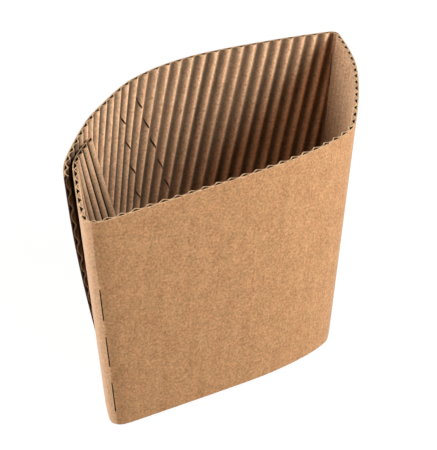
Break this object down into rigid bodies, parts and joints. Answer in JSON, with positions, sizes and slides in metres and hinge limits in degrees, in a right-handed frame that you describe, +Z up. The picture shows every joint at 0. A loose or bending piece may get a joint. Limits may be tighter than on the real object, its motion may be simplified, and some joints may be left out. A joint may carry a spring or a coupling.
{
  "type": "coffee cup sleeve",
  "caption": "Corrugated kraft sleeve for a hot paper cup: a tapered band with its flutes inside, creased twice and glued at a slanted seam, standing open.",
  "frame": {"origin": "centre of the bounding box on the floor that the sleeve stands on", "axes": "+Z up through the open mouth, -Y towards the camera, +X to the picture's right"},
  "size_m": [0.0676, 0.0916, 0.0641],
  "materials": {
    "kraft_board": "matt kraft board, smooth outside and fluted inside"
  },
  "bodies": {
    "root": {"sleeve": "kraft_board"}
  },
  "joints": []
}
